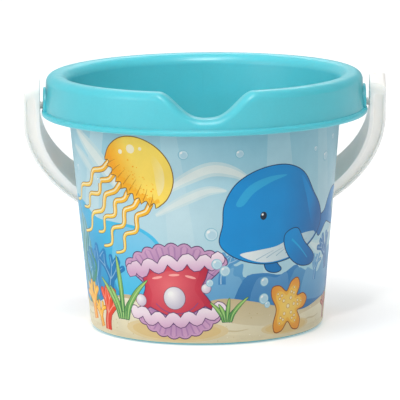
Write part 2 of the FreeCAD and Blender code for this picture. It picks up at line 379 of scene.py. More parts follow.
def own_frame(at, turn, size, facing=1):
    """Two functions that put a creature's own points on the drawing: several, or one."""

    def local(points):
        return placed([(x * facing, z) for x, z in points], at, turn, size)

    def spot(x, z):
        return local([(x, z)])[0]

    return local, spot


def jellyfish(at, size, turn, body=(252, 222, 122), hem=(243, 166, 62), ink=(120, 88, 40), seed=3):
    """A plain dome with a frilled hem and trailing arms, size being half the dome's width."""
    rng = random.Random(seed)
    local, spot = own_frame(at, turn, size)
    arm_paint = ramp(mix(hem, body, 0.3), body, spot(0, -0.5), spot(0, -2.2))
    for start, end in (((-0.78, -0.3), (-1.55, -2.5)), ((0.74, -0.36), (0.74, -2.15)),
                       ((-0.5, -0.44), (-0.98, -2.2)), ((0.42, -0.48), (0.3, -2.35)),
                       ((-0.2, -0.5), (-0.62, -2.75)), ((0.1, -0.52), (-0.1, -2.2))):
        phase = rng.uniform(-0.4, 0.4)
        spine = []
        for k in range(15):
            t = k / 14
            wave = 0.1 * sin(tau * 2.6 * t + phase) * min(1.0, t * 3.5)
            spine.append((start[0] + (end[0] - start[0]) * t + wave, start[1] + (end[1] - start[1]) * t))
        inked(ribbon(local(spine), size * 0.075, size * 0.028, steps=3), arm_paint, ink=ink, width=0.32)
        lit = [(p[0] - 0.02, p[1]) for p in spine]
        paint(ribbon(local(lit), size * 0.022, size * 0.008, steps=3), flat(mix(body, WHITE, 0.6)))
    frill = scallops([(-0.93, -0.36), (-0.5, -0.56), (0, -0.62), (0.5, -0.56), (0.93, -0.36)], -0.13, 9)
    dome = smooth([(0.93, -0.36), (1.0, 0.02), (0.86, 0.46), (0.5, 0.78), (0, 0.9), (-0.5, 0.78),
                   (-0.86, 0.46), (-1.0, 0.02), (-0.93, -0.36)], 6, closed=False)
    bell = local(frill[:-1] + dome[:-1])
    inked(bell, ramp(hem, body, spot(-0.25, -0.62), spot(0.12, 0.0)), ink=ink)
    hem_line = scallops([(-0.9, -0.2), (-0.45, -0.34), (0.05, -0.4), (0.55, -0.33), (0.92, -0.18)], -0.08, 9)
    paint(local(frill[1:-1] + hem_line[::-1]),
          ramp(hem, mix(hem, body, 0.5), spot(-0.9, 0), spot(0.9, 0)))
    for i in range(8):
        x = -0.8 + i * 0.225
        fold = [(x, -0.5 + 0.1 * abs(x)), (x * 0.93, -0.3 + 0.06 * abs(x)), (x * 0.84, -0.12)]
        paint(ribbon(local(fold), size * 0.016, size * 0.004), flat(mix(hem, ink, 0.35)))
    glow = smooth([(-0.1, 0.72), (0.42, 0.6), (0.74, 0.26), (0.8, -0.06), (0.6, 0.1), (0.3, 0.4)])
    paint(local(glow), ramp(body, mix(body, WHITE, 0.5), spot(0.2, 0.2), spot(0.8, 0.4)))
    for x, z, r in ((-0.48, 0.42, 0.115), (-0.66, 0.16, 0.06), (-0.28, 0.6, 0.045)):
        paint(ellipse(spot(x, z), r * size, r * size, 0, 18), flat(mix(body, WHITE, 0.72)))
    for i in range(60):
        x = rng.uniform(-0.86, 0.7)
        z = -0.36 + 0.5 * rng.random() ** 2 - 0.1 * x
        r = size * rng.uniform(0.012, 0.03)
        paint(ellipse(spot(x, z), r, r * 0.8, 0, 7), flat(mix(hem, body, rng.uniform(0.0, 0.5))))


def whale(at, size):
    """A plain round whale looking towards -x, size being half its body's length."""
    body, deep, ink = (12, 144, 206), (8, 104, 164), (16, 58, 96)
    local, spot = own_frame(at, 0, size)
    tail = smooth([(1.02, -0.16), (1.3, -0.05), (1.46, 0.16), (1.66, 0.3), (1.98, 0.28), (1.8, 0.1),
                   (1.72, -0.02), (1.84, -0.16), (1.92, -0.36), (1.62, -0.3), (1.42, -0.26),
                   (1.12, -0.46)], 5)
    inked(local(tail), ramp(deep, body, spot(1.0, 0), spot(1.8, 0)), ink=ink)
    hind = smooth([(-0.24, -0.62), (-0.06, -0.62), (0.02, -0.8), (0.12, -0.92), (-0.02, -0.96),
                   (-0.2, -0.88)], 5)
    inked(local(hind), flat(mix(body, deep, 0.6)), ink=ink)
    hull = smooth([(-1.0, -0.06), (-0.97, 0.3), (-0.76, 0.66), (-0.36, 0.88), (0.12, 0.92),
                   (0.54, 0.74), (0.84, 0.36), (1.08, 0.08), (1.16, -0.18), (1.0, -0.42), (0.66, -0.62),
                   (0.2, -0.76), (-0.3, -0.78), (-0.78, -0.64), (-1.05, -0.4)])
    inked(local(hull), ramp(body, deep, spot(0.1, 0.3), spot(1.1, 0.1)), ink=ink)
    belly = smooth([(-0.7, -0.6), (-0.36, -0.54), (0.0, -0.5), (0.36, -0.38), (0.74, -0.34),
                    (0.99, -0.385), (0.66, -0.6), (0.2, -0.74), (-0.3, -0.76)])
    paint(local(belly), ramp((232, 238, 236), (176, 204, 214), spot(-0.5, -0.4), spot(0.9, -0.5)))
    for i in range(5):
        x = -0.4 + i * 0.2
        groove = [(x, -0.71 + 0.02 * i), (x + 0.16, -0.64 + 0.03 * i), (x + 0.34, -0.57 + 0.03 * i)]
        paint(ribbon(local(groove), size * 0.008, size * 0.003), flat((150, 182, 196)))
    shine = smooth([(-0.78, 0.3), (-0.56, 0.6), (-0.2, 0.74), (0.16, 0.74), (-0.16, 0.64),
                    (-0.46, 0.48), (-0.66, 0.26)])
    paint(local(shine), flat(mix(body, WHITE, 0.26)))
    back = smooth([(0.5, 0.7), (0.8, 0.36), (1.04, 0.07), (1.12, -0.18), (0.98, -0.38), (0.8, -0.1),
                   (0.66, 0.28)])
    paint(local(back), ramp(body, deep, spot(0.7, 0.2), spot(1.05, 0.1)))
    paint(ellipse(spot(-0.28, 0.06), size * 0.062, size * 0.072, 0, 20), flat((20, 36, 56)))
    paint(ellipse(spot(-0.3, 0.085), size * 0.02, size * 0.02, 0, 10), flat(WHITE))
    flipper = smooth([(0.2, -0.3), (0.46, -0.24), (0.66, -0.5), (0.98, -0.78), (0.9, -0.92),
                      (0.58, -0.9), (0.32, -0.74), (0.18, -0.5)])
    inked(local(flipper), ramp(body, deep, spot(0.3, -0.4), spot(0.9, -0.9)), ink=ink)
    vein = [(0.34, -0.42), (0.54, -0.58), (0.78, -0.8)]
    paint(ribbon(local(vein), size * 0.02, size * 0.006), flat(mix(body, WHITE, 0.22)))


SHELL_PINK, SHELL_PLUM, SHELL_CREAM = (210, 168, 196), (122, 84, 138), (244, 228, 234)
SHELL_INK = (84, 54, 98)
SHELL_LIP = 0.05            # how far each rib's end bulges past the radius, as a share of it
SHELL_SQUASH = 0.86         # a fan's height over its width


def shell_half(at, inner, outer, start, end, ribs):
    """A fan of ribs between two radii and two angles in degrees, scalloped at its rim."""

    def fan(places):
        return [(at[0] + r * cos(a), at[1] + r * sin(a) * SHELL_SQUASH) for r, a in places]

    step = (end - start) / ribs
    rim = [(outer * (1 + SHELL_LIP * sin(pi * k / 6)), radians(start + step * (i + k / 6)))
           for i in range(ribs) for k in range(6)]
    heel = [(inner, radians(t)) for t in (end, (start + end) / 2, start)]
    inked(fan(rim + [(outer, radians(end))] + heel), radial(SHELL_PLUM, SHELL_PINK, at, outer),
          ink=SHELL_INK)
    low, high = inner * 1.08, outer * 0.985
    for i in range(ribs):
        for share, colour in ((0.62, mix(SHELL_PINK, SHELL_PLUM, 0.35)), (0.34, SHELL_PINK)):
            a0 = radians(start + step * (i + 0.5 - share / 2))
            a1 = radians(start + step * (i + 0.5 + share / 2))
            tip = (high * (1 + SHELL_LIP * 0.8), (a0 + a1) / 2)
            paint(fan([(low, a0), (high, a0), tip, (high, a1), (low, a1)]),
                  radial(mix(SHELL_PLUM, colour, 0.4), colour, at, outer))
    for share in (0.5, 0.74):
        band = fan([(outer * share, radians(start + (end - start) * t / 24)) for t in range(0, 25, 3)])
        paint(ribbon(band, 0.22, 0.22, steps=4), flat(mix(SHELL_PLUM, SHELL_INK, 0.25)))


def scallop(at, size, tilt):
    """An open scallop: a ribbed fan above, a soft red lining with a pearl, a ribbed dish below."""
    ink = SHELL_INK
    local, spot = own_frame(at, tilt, size)
    shell_half(spot(0.04, -0.5), size * 0.5, size * 1.8, 44 + tilt, 137 + tilt, 9)
    flesh = smooth([(-0.86, 0.56), (-0.4, 0.62), (0.2, 0.66), (0.84, 0.66), (0.8, 0.3), (0.66, 0.0),
                    (0.84, -0.3), (0.96, -0.6), (0.4, -0.86), (-0.3, -0.88), (-0.92, -0.62),
                    (-0.86, -0.2), (-0.76, 0.1)], 5)
    inked(local(flesh), radial((232, 100, 106), (176, 44, 66), spot(-0.1, 0.0), size * 1.1), ink=ink)
    lining = smooth([(-0.66, 0.36), (0.0, 0.46), (0.62, 0.44), (0.5, 0.0), (0.7, -0.44), (0.1, -0.6),
                     (-0.62, -0.5), (-0.6, -0.1)], 5)
    paint(local(lining), radial((228, 116, 120), (198, 68, 84), spot(-0.12, 0.1), size * 0.8))
    for x, z, turn in ((-0.42, 0.3, 12), (0.02, 0.36, 4), (0.42, 0.3, -14)):
        paint(ellipse(spot(x, z), size * 0.14, size * 0.03, turn, 12), flat((248, 176, 170)))
    lip_line = [(-1.16, 0.5), (-0.84, 0.5), (-0.3, 0.62), (0.3, 0.66), (0.8, 0.62), (1.16, 0.68)]
    rope(wave_line(local(lip_line), size * 0.1, 6), size * 0.11,
         ramp(SHELL_CREAM, SHELL_PINK, spot(0, 0.8), spot(0, 0.4)), ink)
    middle = spot(-0.02, -0.2)
    sheen = radial((252, 250, 246), (196, 190, 204), (middle[0] - size * 0.08, middle[1] + size * 0.09),
                   size * 0.38)
    inked(ellipse(middle, size * 0.27, size * 0.27, 0, 30), sheen, ink=PEARL_INK, width=0.35)
    paint(ellipse((middle[0] - size * 0.1, middle[1] + size * 0.11), size * 0.065, size * 0.045, 30, 14),
          flat(WHITE))
    shell_half(spot(0.02, -0.02), size * 0.86, size * 1.3, 214 + tilt, 326 + tilt, 8)
    lip_line = [(1.14, -0.5), (0.6, -0.68), (0.0, -0.74), (-0.6, -0.7), (-1.16, -0.5)]
    rope(wave_line(local(lip_line), size * 0.08, 6), size * 0.11,
         ramp(SHELL_CREAM, SHELL_PINK, spot(0, -0.55), spot(0, -0.95)), ink)


def starfish(at, size, turn, light=(246, 208, 110), dark=(228, 156, 84), ink=(130, 76, 44)):
    """Five soft arms, a little unevenly spread, with rows of outlined spots."""
    outline = []
    arms = [turn + a for a in (0, 58, 128, 229, 297)]
    for i in range(5):
        a = radians(arms[i])
        b = radians((arms[i] + (arms[i + 1] if i < 4 else arms[0] + 360)) / 2)
        side = (-sin(a) * 0.23, cos(a) * 0.23)
        tip = (cos(a), sin(a))
        outline += [(tip[0] * 0.82 - side[0], tip[1] * 0.82 - side[1]), (tip[0] * 1.02, tip[1] * 1.02),
                    (tip[0] * 0.82 + side[0], tip[1] * 0.82 + side[1]),
                    (cos(b) * 0.53, sin(b) * 0.53)]
    body = placed(smooth(outline, 6), at, 0, size)
    inked(body, radial(light, dark, at, size * 0.95), ink=ink)
    inner = [(at[0] + (p[0] - at[0]) * 0.74, at[1] + (p[1] - at[1]) * 0.74) for p in body]
    paint(inner, radial(mix(light, WHITE, 0.18), mix(light, dark, 0.3), at, size * 0.8))
    for arm in arms:
        a = radians(arm)
        for k, r in enumerate((0.3, 0.5, 0.68)):
            wide = 0.052 - 0.009 * k
            for off in (-0.07, 0.07) if k == 1 else (0.0,):
                x = at[0] + size * (r * cos(a) - off * sin(a))
                z = at[1] + size * (r * sin(a) + off * cos(a))
                inked(ellipse((x, z), size * wide, size * wide, 0, 12), flat(mix(light, WHITE, 0.6)),
                      ink=mix(dark, ink, 0.4), width=0.25)
    inked(ellipse(at, size * 0.07, size * 0.07, 0, 14), flat(mix(light, WHITE, 0.6)),
          ink=mix(dark, ink, 0.4), width=0.25)


def fish(at, size, facing, body, fin):
    """A small plain fish, size being half its length; facing 1 looks towards -x, and -1 towards x."""
    local, spot = own_frame(at, 0, size, facing)
    tail = smooth([(0.55, 0.0), (0.92, 0.44), (1.12, 0.42), (0.94, 0.0), (1.12, -0.42), (0.92, -0.44)], 5)
    inked(local(tail), ramp(fin, body, spot(1, 0), spot(0.5, 0)), width=0.35)
    top = smooth([(-0.3, 0.42), (0.0, 0.76), (0.4, 0.62), (0.5, 0.26), (0.1, 0.36)], 5)
    inked(local(top), flat(fin), width=0.35)
    hull = smooth([(-0.92, 0.0), (-0.6, 0.36), (-0.1, 0.5), (0.42, 0.3), (0.74, 0.08), (0.74, -0.08),
                   (0.42, -0.3), (-0.1, -0.46), (-0.6, -0.32)])
    inked(local(hull), ramp(mix(body, WHITE, 0.35), body, spot(0, -0.5), spot(0, 0.3)),
          width=0.35)
    for x in (-0.18, 0.2):
        stripe = [(x, 0.42 - abs(x) * 0.3), (x + 0.06, 0.0), (x, -0.4 + abs(x) * 0.3)]
        paint(ribbon(local(stripe), size * 0.05, size * 0.03, size * 0.03), flat(fin))
    side = smooth([(-0.16, -0.02), (0.16, 0.1), (0.2, -0.16), (-0.02, -0.2)], 5)
    inked(local(side), flat(mix(fin, WHITE, 0.25)), width=0.25)
    eye = spot(-0.56, 0.1)
    paint(ellipse(eye, size * 0.07, size * 0.07, 0, 14), flat((24, 34, 48)))
    glint = (eye[0] - size * 0.02, eye[1] + size * 0.02)
    paint(ellipse(glint, size * 0.022, size * 0.022, 0, 8), flat(WHITE))


# ---- scenery ----

SAND_LIGHT, SAND_MID, SAND_TAN = (238, 232, 208), (226, 216, 186), (198, 182, 146)
SAND_SHADE = (218, 190, 136)
BAY, BAY_DEEP, BAY_PALE = (92, 190, 226), (44, 134, 186), (138, 200, 228)
REEF, REEF_DEEP, REEF_PALE = (76, 136, 186), (40, 100, 156), (112, 168, 204)
AMBER_CORAL, LILAC_CORAL = ((240, 160, 48), (250, 200, 76)), ((170, 92, 172), (212, 142, 206))
AMBER_INK, LILAC_INK, RED_INK = (150, 84, 34), (92, 46, 104), (124, 34, 40)
ORANGE_FISH, YELLOW_FISH = ((246, 150, 70), (216, 92, 60)), ((250, 206, 92), (238, 150, 60))
PINK_FISH, GREEN_FISH = ((238, 122, 142), (198, 70, 118)), ((104, 196, 190), (40, 138, 160))


def hill(points, top_colour, foot_colour):
    """Ground from a ridge line down past the label's lower edge."""
    ridge = smooth(points, 6, closed=False)
    high = max(p[1] for p in points)
    outline = ridge + [(points[-1][0], -4), (points[0][0], -4)]
    paint(outline, ramp(foot_colour, top_colour, (0, 4), (0, high)))


def draw_sea():
    """Light rays and currents over the water."""
    for top, foot, wide_top, wide_foot, strength in (
            (-62, -88, 5, 10, 0.34), (-20, -12, 4, 9, 0.2), (38, 46, 6, 14, 0.26), (70, 86, 4, 9, 0.18),
            (-120, -132, 6, 12, 0.26), (-165, -172, 5, 12, 0.22), (125, 133, 6, 12, 0.26),
            (176, 180, 5, 12, 0.22)):
        light_ray(top, foot, wide_top, wide_foot, strength)
    swirl([(-86, 114), (-76, 108), (-66, 101), (-56, 92), (-50, 84)], 5.5, 0.75)
    swirl([(-92, 104), (-82, 100), (-72, 93), (-64, 84)], 3.5, 0.5)
    swirl([(-24, 84), (-12, 92), (2, 98), (14, 96), (24, 90)], 4.2, 0.75)
    swirl([(-28, 72), (-14, 80), (0, 86), (10, 86)], 3.2, 0.65)
    swirl([(66, 52), (76, 48), (88, 50), (98, 56)], 4.5, 0.6)
    swirl([(64, 44), (78, 40), (92, 42)], 3.0, 0.5)
    swirl([(112, 96), (126, 92), (140, 97), (154, 94)], 3.6, 0.55)
    swirl([(-114, 78), (-128, 84), (-144, 80), (-158, 84)], 3.6, 0.55)
    swirl([(-176, 100), (-190, 95), (-204, 99)], 3.2, 0.5)
    swirl([(172, 62), (186, 67), (202, 63)], 3.4, 0.5)


def draw_far_reef():
    """The bay, its corals and weed, and the rocks behind the whale."""
    paint(smooth([(-104, 70), (-88, 74), (-72, 67), (-56, 66), (-40, 65), (-28, 58), (-22, 44), (-26, 20),
                  (-60, 12), (-104, 12)]), ramp(BAY_DEEP, BAY, (-80, 22), (-56, 58)))
    paint(smooth([(-56, 60), (-44, 64), (-30, 57), (-24, 42), (-28, 22), (-50, 22), (-60, 36)]),
          ramp(BAY_PALE, BAY, (-40, 62), (-48, 26)))
    paint(smooth([(-96, 60), (-90, 66), (-84, 58), (-80, 40), (-82, 20), (-98, 20)]),
          tinted(water, (96, 160, 178), 0.55))
    coral(-76, 22, 30, (40, 124, 178), (44, 132, 188), 5)
    coral(-64, 24, 26, (36, 118, 172), (40, 126, 182), 9, -12)
    coral(-87, 22, 22, (58, 138, 178), (64, 148, 190), 12, 10)
    for x, z, h, c in ((-94, 12, 62, (78, 148, 140)), (-89, 14, 50, (66, 138, 124)),
                       (-84, 20, 40, (54, 136, 150)), (-99, 14, 58, (96, 160, 146)),
                       (-80, 16, 36, (60, 140, 120))):
        tall_weed(x, z, h, c)
    rock([(-8, 16), (-8, 34), (-2, 42), (4, 47), (11, 50), (15, 44), (20, 45), (20, 38), (28, 34),
          (30, 16)], REEF_PALE, REEF)
    rock([(16, 14), (20, 36), (32, 39), (44, 37), (56, 41), (60, 30), (58, 12)], REEF, REEF_DEEP)
    rock([(50, 12), (54, 38), (66, 36), (78, 33), (88, 42), (96, 46), (106, 38), (108, 10)],
         REEF_PALE, REEF_DEEP)
    coral(8, 34, 20, REEF, REEF_PALE, 21)
    coral(90, 34, 24, REEF_DEEP, REEF, 22, 8)
    coral(74, 30, 15, REEF, REEF_PALE, 27, -6)


def draw_back_reef():
    """The same kind of reef on round the back."""
    rock([(104, 10), (108, 34), (118, 44), (130, 42), (140, 33), (154, 36), (160, 12)], REEF, REEF_DEEP)
    rock([(150, 10), (158, 30), (168, 40), (180, 37), (192, 27), (198, 10)], REEF_PALE, REEF)
    rock([(188, 10), (196, 24), (208, 31), (222, 28), (224, 8)], REEF, REEF_DEEP)
    rock([(-224, 8), (-222, 28), (-210, 33), (-200, 42), (-188, 36), (-184, 12)], REEF, REEF_DEEP)
    rock([(-190, 10), (-182, 32), (-168, 46), (-156, 40), (-146, 26), (-142, 10)], REEF_PALE, REEF)
    paint(smooth([(-148, 12), (-146, 50), (-134, 62), (-118, 66), (-102, 68), (-98, 30), (-100, 12)]),
          ramp(BAY_DEEP, BAY, (-110, 16), (-124, 60)))
    coral(126, 36, 22, REEF_DEEP, REEF, 31)
    coral(176, 32, 20, REEF, REEF_PALE, 33, -8)
    coral(-126, 24, 34, (40, 124, 178), (46, 134, 190), 35, 6)
    coral(-208, 26, 20, REEF_DEEP, REEF, 37)
    coral(-164, 36, 18, REEF, REEF_PALE, 39, 8)
    for x, z, h, c in ((-140, 14, 62, (96, 162, 152)), (-133, 14, 48, (84, 154, 146)),
                       (148, 14, 58, (96, 162, 152)), (154, 14, 44, (84, 154, 146)),
                       (212, 12, 52, (104, 168, 160)), (-180, 12, 50, (96, 160, 156))):
        tall_weed(x, z, h, c)


def draw_sand():
    """Three ridges of sand, grains and ripples."""
    hill([(-222, 20), (-196, 25), (-170, 19), (-140, 24), (-112, 20), (-90, 16), (-70, 20), (-52, 26),
          (-34, 24), (-16, 20), (6, 26), (24, 24), (44, 19), (62, 15), (84, 18), (108, 20), (134, 25),
          (160, 19), (190, 23), (222, 20)], SAND_TAN, SAND_MID)
    hill([(-222, 13), (-190, 17), (-150, 13), (-118, 16), (-92, 13), (-68, 22), (-50, 24), (-36, 20),
          (-20, 14), (2, 15), (20, 11), (42, 9), (66, 13), (94, 15), (124, 12), (156, 16), (190, 12),
          (222, 13)], SAND_LIGHT, SAND_MID)
    hill([(-222, 5), (-180, 7), (-130, 4), (-84, 6), (-44, 4), (0, 6), (40, 4), (90, 6), (140, 4),
          (186, 7), (222, 5)], mix(SAND_MID, SAND_TAN, 0.25), mix(SAND_MID, SAND_TAN, 0.1))
    rng = random.Random(11)
    for _ in range(210):
        x, z = rng.uniform(-216, 216), rng.uniform(2.0, 17)
        shade = rng.choice(((206, 188, 146), (244, 238, 218), (190, 170, 130)))
        paint(ellipse((x, z), rng.uniform(0.25, 0.5), rng.uniform(0.18, 0.32), 0, 6), flat(shade))
    for x, z, wide in ((-96, 9, 9), (-30, 3.4, 12), (14, 7, 10), (74, 8, 10), (28, 15, 8), (120, 8, 12),
                       (168, 7, 11), (-128, 8, 12), (-172, 9, 12), (-206, 7, 9), (204, 8, 10)):
        ripple = [(x - wide, z), (x - wide * 0.4, z + 0.9), (x + wide * 0.3, z + 0.5), (x + wide, z + 1.3)]
        paint(ribbon(ripple, 0.1, 0.1, 0.35), flat(mix(SAND_MID, SAND_TAN, 0.6)))


def draw_front():
    """What lives on the half that the photo shows."""
    jellyfish((-38.5, 94.5), 21.5, -38)
    whale((40, 69), 31.5)
    shadow_on_sand((-20, 8), 32, 6.5)
    scallop((-19, 31), 23, 3)
    shadow_on_sand((51, 7), 19, 4)
    starfish((50.5, 18.5), 16, 8)
    pearl(-40, 24, 3.3)
    pearl(-1, 32, 2.6)
    coral(-84, 8, 23, (240, 150, 44), (250, 200, 60), 41, 10, ink=AMBER_INK)
    coral(-69, 4, 26, (216, 56, 40), (234, 92, 56), 43, -4, ink=RED_INK)
    coral(-75, 5, 15, *AMBER_CORAL, 44, 16, ink=AMBER_INK)
    weed_tuft(-54, 12, 26, 51)
    blade(-54, 16, 31, -2.5, 2.2)
    weed_tuft(11, 13, 17, 52)
    coral(95, 5, 15, (150, 62, 58), (196, 104, 88), 45, 6, ink=(96, 40, 44))
    for x, z, r in ((-12, 106, 2.7), (17, 106, 2.4), (77, 98.5, 2.7), (86, 108, 1.8), (2, 62, 3.7),
                    (5, 45.5, 3.0), (9.5, 41.5, 3.0), (1, 35, 2.1), (33, 34, 2.6), (33, 24.5, 3.1),
                    (35.5, 21, 1.9), (-66, 88, 1.7), (66, 104, 1.6), (-90, 92, 2.2)):
        bubble(x, z, r)


def draw_back():
    """Plain sea life for the half that it hides."""
    for x, z, size, facing, colours in ((-134, 92, 12, 1, ORANGE_FISH), (-160, 74, 9, 1, YELLOW_FISH),
                                        (-116, 56, 8, -1, PINK_FISH), (136, 76, 11, -1, GREEN_FISH),
                                        (162, 94, 8.5, -1, YELLOW_FISH), (118, 98, 7, 1, ORANGE_FISH)):
        fish((x, z), size, facing, *colours)
    jellyfish((190, 78), 13, 16, (236, 186, 214), (204, 120, 178), (110, 62, 108), 8)
    jellyfish((-196, 88), 15, -14, (250, 216, 96), (240, 156, 52), (120, 88, 40), 9)
    shadow_on_sand((-168, 8), 17, 4)
    starfish((-168, 17), 13, 54, (236, 142, 168), (204, 86, 130), (120, 44, 88))
    shadow_on_sand((150, 7), 14, 3.6)
    starfish((150, 15), 11.5, 6)
    coral(120, 7, 23, (214, 62, 52), (232, 98, 74), 61, 4, ink=RED_INK)
    coral(132, 5, 15, *AMBER_CORAL, 62, -10, ink=AMBER_INK)
    coral(-118, 7, 22, *LILAC_CORAL, 63, 6, ink=LILAC_INK)
    coral(-200, 6, 22, (240, 150, 44), (250, 196, 70), 64, 4, ink=AMBER_INK)
    coral(204, 6, 20, *LILAC_CORAL, 65, -6, ink=LILAC_INK)
    weed_tuft(-142, 11, 24, 71)
    weed_tuft(176, 10, 24, 72)
    weed_tuft(-214, 9, 16, 73)
    weed_tuft(106, 10, 15, 74)
    for x, z, r in ((-146, 106, 2.6), (-112, 104, 2.0), (-170, 58, 2.8), (-176, 52, 1.9), (-128, 72, 1.8),
                    (120, 70, 2.4), (124, 64, 1.6), (150, 108, 2.4), (178, 104, 1.8), (-216, 60, 2.2),
                    (208, 104, 2.4), (168, 60, 2.6), (172, 54, 1.7), (112, 84, 1.6), (-184, 108, 1.7)):
        bubble(x, z, r)


# ======== From the drawing to the wall ========

def film_place(x, z, inset):
    """Place and outward normal of a point of the drawing, inset below the outer face, in mm."""
    lean = atan(WALL_SLOPE)
    corner_r = BASE_RADIUS + WALL_SLOPE * BASE_CORNER - BASE_CORNER / cos(lean)
    turn = x / ROLL_RADIUS
    if z >= BASE_CORNER - BASE_CORNER * sin(lean):
        out, down = cos(lean), sin(lean)
        r = BASE_RADIUS + WALL_SLOPE * z
    else:
        down = (BASE_CORNER - z) / BASE_CORNER
        out = sqrt(1 - down * down)
        r = corner_r + BASE_CORNER * out
    normal = Vector((out * sin(turn), -out * cos(turn), -down))
    place = Vector((r * sin(turn), -r * cos(turn), z)) - normal * inset
    return place, normal


def topmost(centres, outlines):
    """For each point the number of the last outline that winds round it, or -1."""
    owner = np.full(len(centres), -1)
    for number, outline in enumerate(outlines):
        ring = np.array(outline)
        near = np.flatnonzero((centres >= ring.min(0)).all(1) & (centres <= ring.max(0)).all(1))
        x, z = centres[near].T
        winding = np.zeros(len(near), int)
        for (ax, az), (bx, bz) in zip(ring, np.roll(ring, -1, 0)):
            side = (bx - ax) * (z - az) - (x - ax) * (bz - az)
            winding += (az <= z) & (bz > z) & (side > 0)
            winding -= (az > z) & (bz <= z) & (side < 0)
        owner[near[winding != 0]] = number
    return owner


def cut_drawing(left, right):
    """Triangles of the drawing between two x values: its points, and (corners, paint) of each."""
    points = [Vector((x, z)) for x, z in ((left, LABEL_LOW), (right, LABEL_LOW),
                                          (right, LABEL_HIGH), (left, LABEL_HIGH))]
    edges = []
    shown = [(outline, colour) for outline, colour in PICTURE
             if max(p[0] for p in outline) > left and min(p[0] for p in outline) < right]
    for outline, _ in shown:
        start, count = len(points), len(outline)
        points.extend(Vector(p) for p in outline)
        edges.extend((start + i, start + (i + 1) % count) for i in range(count))

    def add_line(a, b):
        edges.append((len(points), len(points) + 1))
        points.extend((Vector(a), Vector(b)))

    columns = round((right - left) / GRID)
    for i in range(1, columns):
        x = left + (right - left) * i / columns
        add_line((x, LABEL_LOW), (x, LABEL_HIGH))
    z = LABEL_LOW
    while z < LABEL_HIGH - GRID / 2:
        z += GRID if z > BASE_CORNER else CORNER_GRID
        add_line((left, z), (right, z))
    made = delaunay_2d_cdt(points, edges, [[0, 1, 2, 3]], 0, MERGE)
    inside = [f for f, owners in zip(made[2], made[5]) if owners]
    flat_points = np.array([tuple(p) for p in made[0]])
    owner = topmost(flat_points[np.array(inside)].mean(1), [outline for outline, _ in shown])
    return made[0], [(f, shown[k][1] if k >= 0 else water) for f, k in zip(inside, owner)]


def label_piece(name, left, right):
    """A closed film between two x values, painted with the drawing."""
    flat_points, triangles = cut_drawing(left, right)
    used = sorted({i for f, _ in triangles for i in f})
    number = {old: new for new, old in enumerate(used)}
    count = len(used)
    sides = []
    verts = []
    for inset in (0.0, FILM):
        for i in used:
            place, normal = film_place(flat_points[i].x, flat_points[i].y, inset)
            verts.append(place * MM)
            sides.append(normal if inset == 0 else -normal)
    faces, colours, normals = [], [], []

    def add_face(face, paints, directions):
        faces.append(face)
        colours.extend(paints)
        normals.extend(directions)

    open_edges = {}
    for f, colour in triangles:
        f = [number[i] for i in f]
        corners = [flat_points[used[i]] for i in f]
        add_face(f, [colour(p.x, p.y) for p in corners], [sides[i] for i in f])
        for a, b in zip(f, f[1:] + f[:1]):
            if (b, a) in open_edges:
                del open_edges[(b, a)]
            else:
                open_edges[(a, b)] = True
    for f in list(faces):
        back = [i + count for i in reversed(f)]
        add_face(back, [WHITE] * len(back), [sides[i] for i in back])
    for a, b in open_edges:
        wall = [b, a, a + count, b + count]
        p, q, r = (verts[i] for i in wall[:3])
        add_face(wall, [WHITE] * 4, [(q - p).cross(r - p).normalized()] * 4)
    mesh = bpy.data.meshes.new(name)
    mesh.from_pydata(verts, [], faces)
    ink = mesh.color_attributes.new("print", "FLOAT_COLOR", "CORNER")
    for i, colour in enumerate(colours):
        ink.data[i].color = (*ink_level(colour), 1.0)
    mesh.polygons.foreach_set("use_smooth", [True] * len(mesh.polygons))
    mesh.normals_split_custom_set(normals)
    return add_object(name, mesh)


# ======== Materials ========

NOISE_LOW, NOISE_HIGH = 0.3, 0.7    # most of a noise's values lie between these
PLASTIC_IOR, FILM_IOR = 1.49, 1.5
SCATTER_DEPTH = 0.004       # this and the three reliefs below are in metres
PEEL, RIPPLE, FILM_RELIEF = 0.000004, 0.00003, 0.00001
SCUFF_DOWN, SCUFF_UP = 0.05, 0.08   # how far scuffs move the plastic's roughness


def set_range(node, *numbers):
    """The four limits of a Map Range node, from low, from high, to low, to high."""
    for name, number in zip(("From Min", "From Max", "To Min", "To Max"), numbers):
        node.inputs[name].default_value = number


